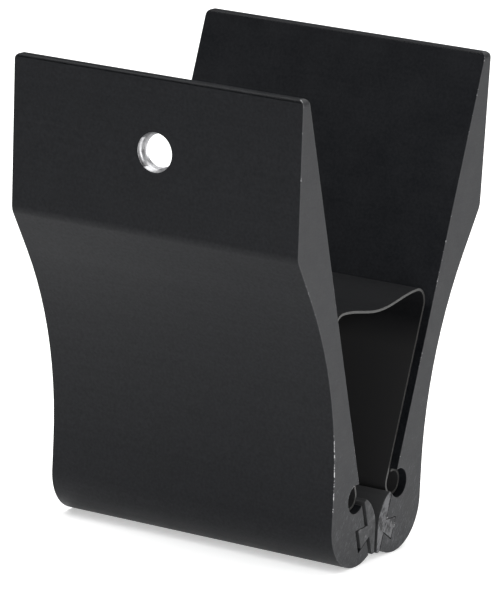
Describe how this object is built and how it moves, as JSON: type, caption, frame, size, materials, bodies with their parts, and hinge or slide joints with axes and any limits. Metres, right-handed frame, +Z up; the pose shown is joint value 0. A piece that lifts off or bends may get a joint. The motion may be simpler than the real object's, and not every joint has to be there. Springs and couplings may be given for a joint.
{
  "type": "wide spring clip",
  "caption": "Wide black spring clip: long V-shaped wings are squeezed to open soft-lined jaws, with a hanging hole in the front wing.",
  "frame": {"origin": "centre of the bounding box's bottom face, between the two rounded feet", "axes": "+X along the clip's width, +Y from the drilled front wing towards the rear wing, +Z up from the jaws to the wing tips"},
  "size_m": [0.0762, 0.0818, 0.1123],
  "materials": {
    "anodised_aluminium": "black satin anodised extrusion with sawn grey ends",
    "black_spring_steel": "blackened spring strip",
    "pad_rubber": "matte extruded rubber"
  },
  "bodies": {
    "spring": {"leaf_spring": "black_spring_steel"},
    "front": {"front_grip": "anodised_aluminium", "front_jaw_pad": "pad_rubber"},
    "rear": {"rear_grip": "anodised_aluminium", "rear_jaw_pad": "pad_rubber"}
  },
  "joints": [
    {"name": "rear_rock", "type": "hinge", "parent": "spring", "child": "rear", "pos_m": [0, 0.0158, 0.0554], "axis": [1, 0, 0], "range_deg": [0, 18], "stiffness_Nm_per_rad": 2.9, "springref_deg": -20.05, "deforming": ["leaf_spring"]},
    {"name": "front_rock", "type": "hinge", "parent": "spring", "child": "front", "pos_m": [0, -0.0158, 0.0554], "axis": [1, 0, 0], "range_deg": [-18, 0], "stiffness_Nm_per_rad": 2.9, "springref_deg": 20.05, "deforming": ["leaf_spring"]}
  ],
  "couplings": [
    {"joint": "front_rock", "follows": "rear_rock", "ratio": -1}
  ]
}
